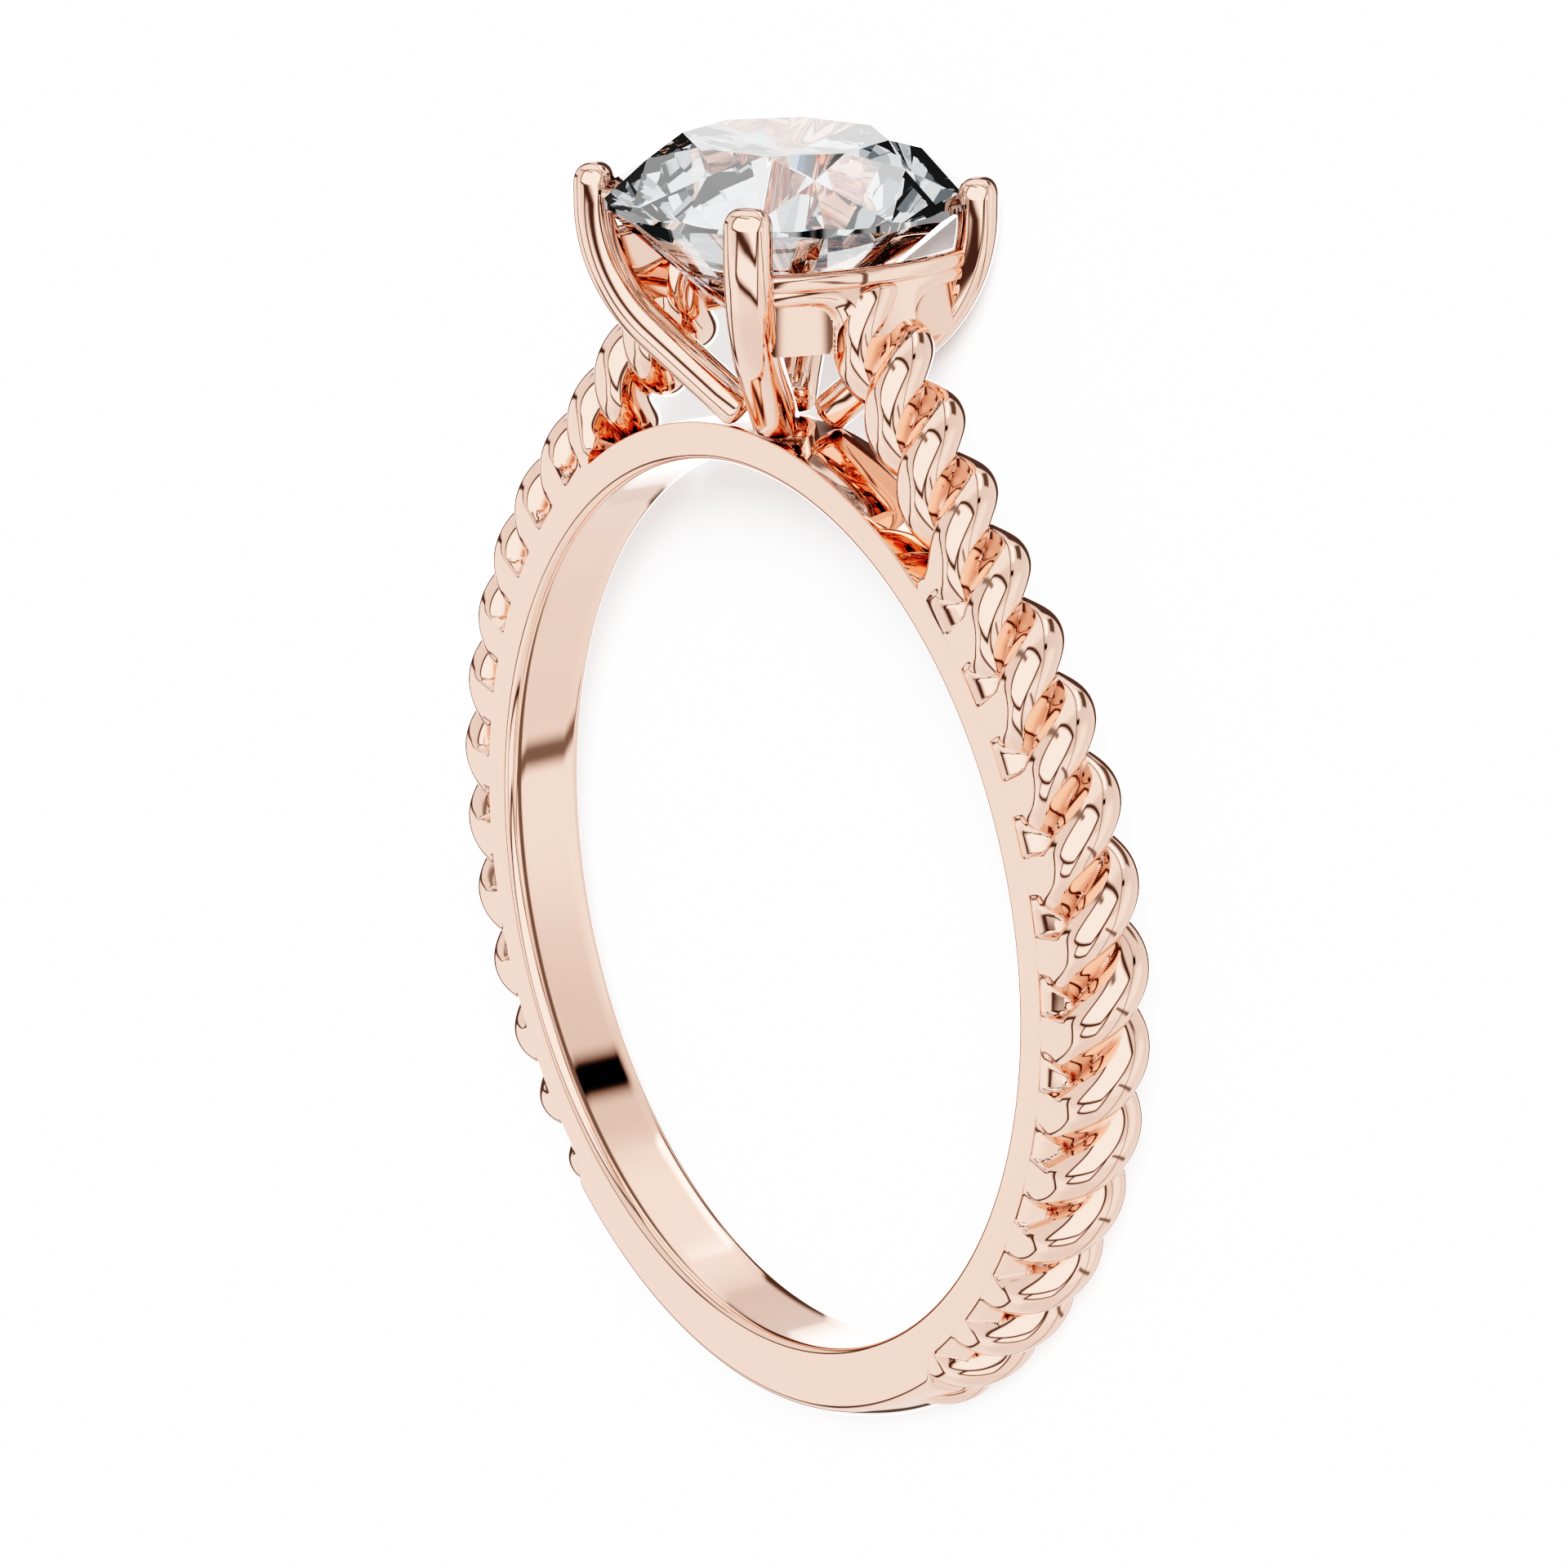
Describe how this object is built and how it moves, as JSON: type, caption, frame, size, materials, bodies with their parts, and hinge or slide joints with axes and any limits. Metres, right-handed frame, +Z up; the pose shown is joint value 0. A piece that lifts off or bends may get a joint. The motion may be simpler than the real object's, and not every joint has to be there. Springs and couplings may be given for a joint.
{
  "type": "twisted shank solitaire ring",
  "caption": "Solitaire finger ring lying on its side: a flat band with a twisted rope on its outside, and a clear round brilliant stone held up in prongs over a railed gallery.",
  "frame": {"origin": "on the floor under the middle of the ring's box, as the ring lies on its side", "axes": "+Y from the finger hole towards the stone, +Z up from the floor, nearly along the finger hole's axis"},
  "size_m": [0.0208, 0.024, 0.0065],
  "materials": {
    "rose_gold": "mirror polished rose gold",
    "clear_stone": "clear faceted stone"
  },
  "bodies": {
    "root": {"shank_and_setting": "rose_gold", "round_stone": "clear_stone"}
  },
  "joints": []
}
